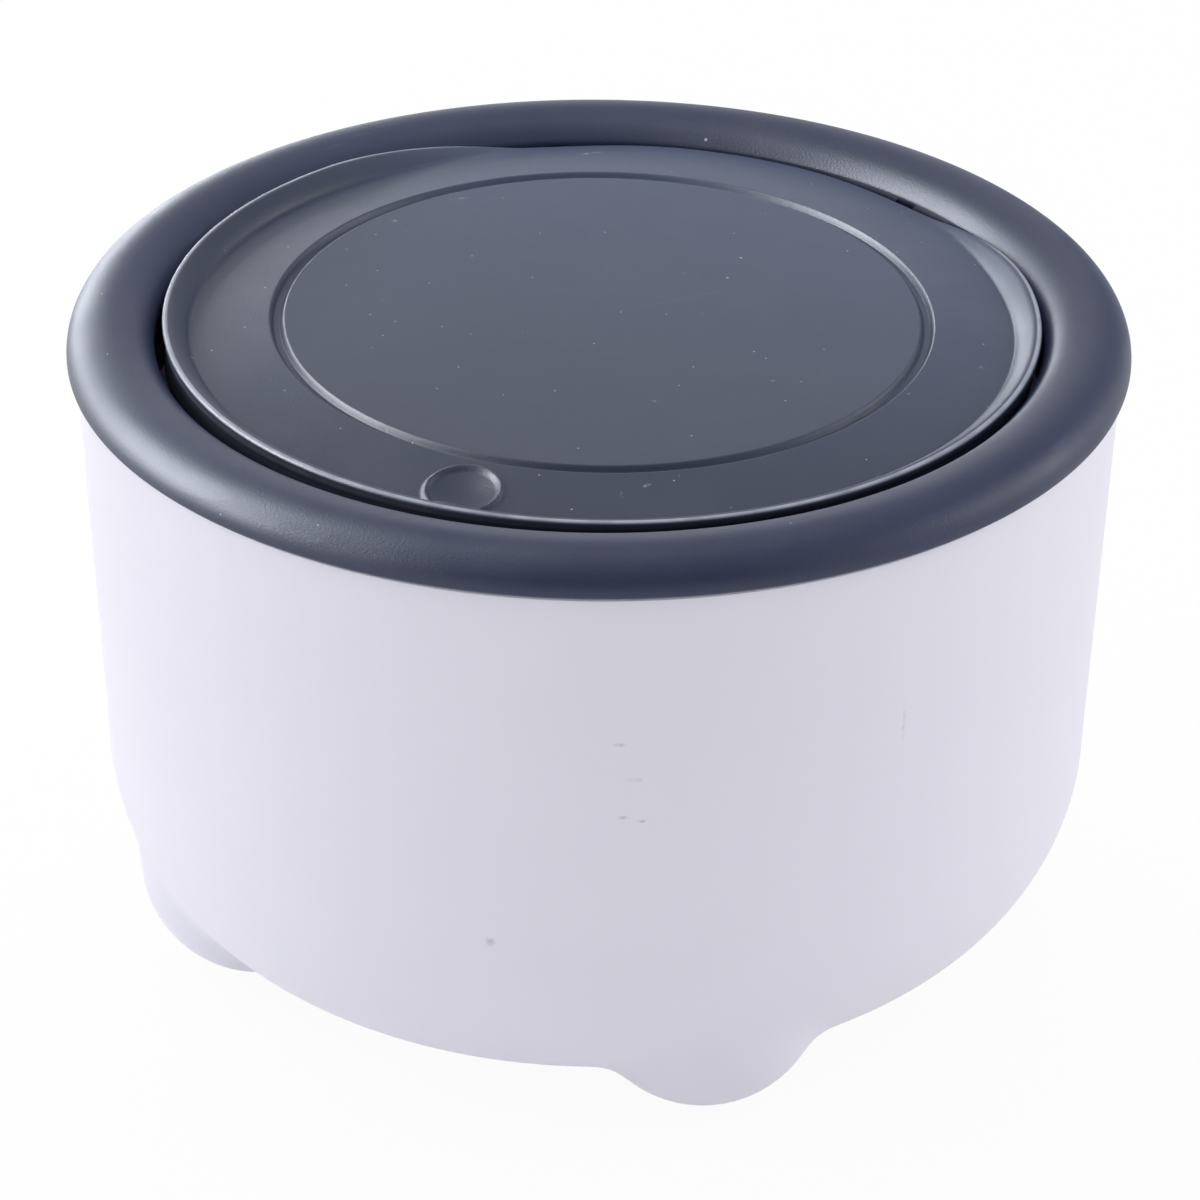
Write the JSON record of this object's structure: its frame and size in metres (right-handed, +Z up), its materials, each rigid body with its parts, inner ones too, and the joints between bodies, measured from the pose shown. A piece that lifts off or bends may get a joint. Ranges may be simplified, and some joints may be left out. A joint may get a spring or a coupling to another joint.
{
  "type": "push top countertop bin",
  "caption": "Small round countertop waste bin: a tapered bowl on moulded feet, with a rim ring that lifts off and a lid that springs open when its front is pressed.",
  "frame": {"origin": "on the surface that the bin stands on, under the middle of the bowl", "axes": "+Z up, -Y to the front where the lid is pressed, +Y to the hinge, +X to the right"},
  "size_m": [0.18, 0.18, 0.118],
  "materials": {
    "bowl_plastic": "fine satin moulded polypropylene, lavender white",
    "ring_plastic": "satin moulded plastic, dark slate blue",
    "lid_plastic": "satin moulded plastic, dark slate blue",
    "carrier_plastic": "plain moulded plastic, dark slate",
    "liner_plastic": "plain moulded plastic, dark slate",
    "striker_plastic": "acetal, natural white",
    "latch_plastic": "acetal, natural white",
    "spring_steel": "drawn spring wire",
    "shaft_steel": "ground pin, blackened",
    "screw_steel": "zinc plated"
  },
  "bodies": {
    "bowl": {"bowl": "bowl_plastic"},
    "ring": {"ring_cover": "ring_plastic", "ring_carrier": "carrier_plastic", "ring_screws": "screw_steel", "torsion_spring_left": "spring_steel", "torsion_spring_right": "spring_steel", "latch_housing": "latch_plastic", "latch_cover": "latch_plastic", "latch_spring": "spring_steel", "latch_screws": "screw_steel"},
    "lid": {"lid_panel": "lid_plastic", "lid_liner": "liner_plastic", "lid_screws": "screw_steel", "striker": "striker_plastic", "striker_screws": "screw_steel", "hinge_shaft_left": "shaft_steel", "hinge_shaft_right": "shaft_steel"},
    "plunger": {"latch_plunger": "latch_plastic", "latch_jaws": "spring_steel"},
    "cam_wire": {"cam_wire": "spring_steel"}
  },
  "joints": [
    {"name": "ring_lift", "type": "slide", "parent": "bowl", "child": "ring", "axis": [0, 0, 1], "range_m": [0, 0.035]},
    {"name": "lid_hinge", "type": "hinge", "parent": "ring", "child": "lid", "pos_m": [0, 0.068, 0.1116], "axis": [-1, 0, 0], "range_deg": [-0.7, 70], "deforming": ["torsion_spring_left", "torsion_spring_right", "latch_jaws"]},
    {"name": "plunger_slide", "type": "slide", "parent": "ring", "child": "plunger", "axis": [0, 0, 1], "range_m": [-0.0015, 0.0025], "stiffness_N_per_m": 250, "deforming": ["latch_spring", "latch_jaws"]},
    {"name": "cam_wire_swing", "type": "hinge", "parent": "ring", "child": "cam_wire", "pos_m": [0, -0.0622, 0.0834], "axis": [0, 1, 0], "range_deg": [-2.5, 4.1]}
  ],
  "couplings": [
    {"joint": "cam_wire_swing", "follows": "plunger_slide", "rad_per_m": 26.18}
  ]
}
